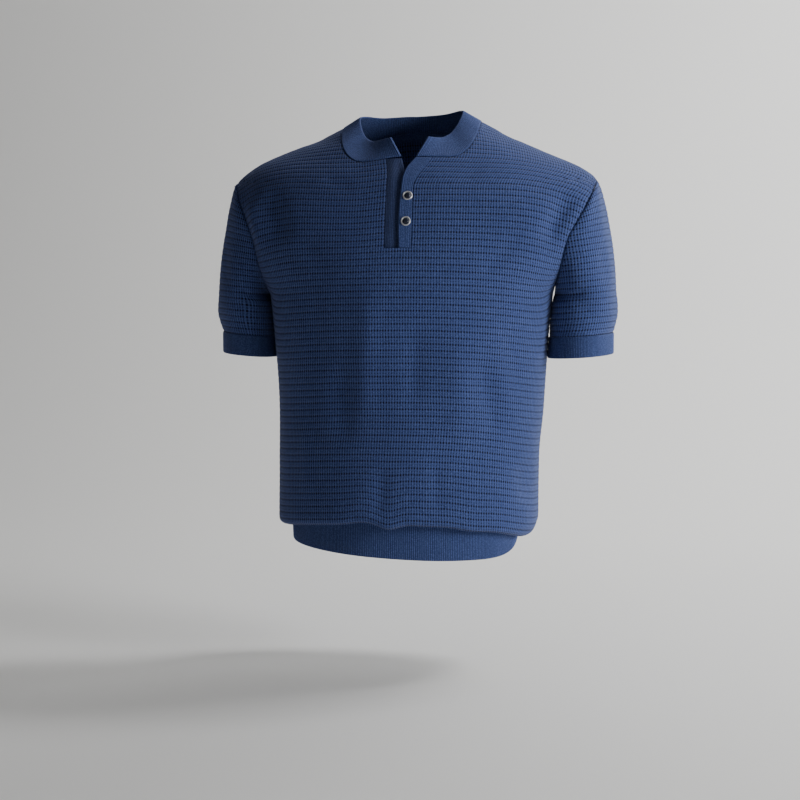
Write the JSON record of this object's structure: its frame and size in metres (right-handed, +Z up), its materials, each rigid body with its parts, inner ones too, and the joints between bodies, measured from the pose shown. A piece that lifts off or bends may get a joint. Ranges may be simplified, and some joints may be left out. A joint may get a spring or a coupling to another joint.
{
  "type": "henley shirt",
  "caption": "Short-sleeved knit henley shirt in worn form, with a band collar, a buttoned placket, ribbed cuffs and a body bloused over a rib hem.",
  "frame": {"origin": "on the middle plane, level with the neck ends of the shoulder seams, where the wearer's shoulders hold the shirt", "axes": "+X to the wearer's left, -Y to the front, +Z up"},
  "size_m": [0.529, 0.2447, 0.5791],
  "materials": {
    "knit": "matt ribbed knit, horizontal courses",
    "rib": "matt fine one by one rib knit",
    "button_metal": "polished ring",
    "button_dark": "glossy dome"
  },
  "bodies": {
    "root": {"front": "knit", "back": "knit", "sleeve_left": "knit", "sleeve_right": "knit", "neckband": "rib", "placket_over": "rib", "placket_under": "rib", "hem_front": "rib", "hem_back": "rib", "cuff_left": "rib", "cuff_right": "rib", "button_ring_upper": "button_metal", "button_dome_upper": "button_dark", "button_ring_lower": "button_metal", "button_dome_lower": "button_dark"}
  },
  "joints": []
}
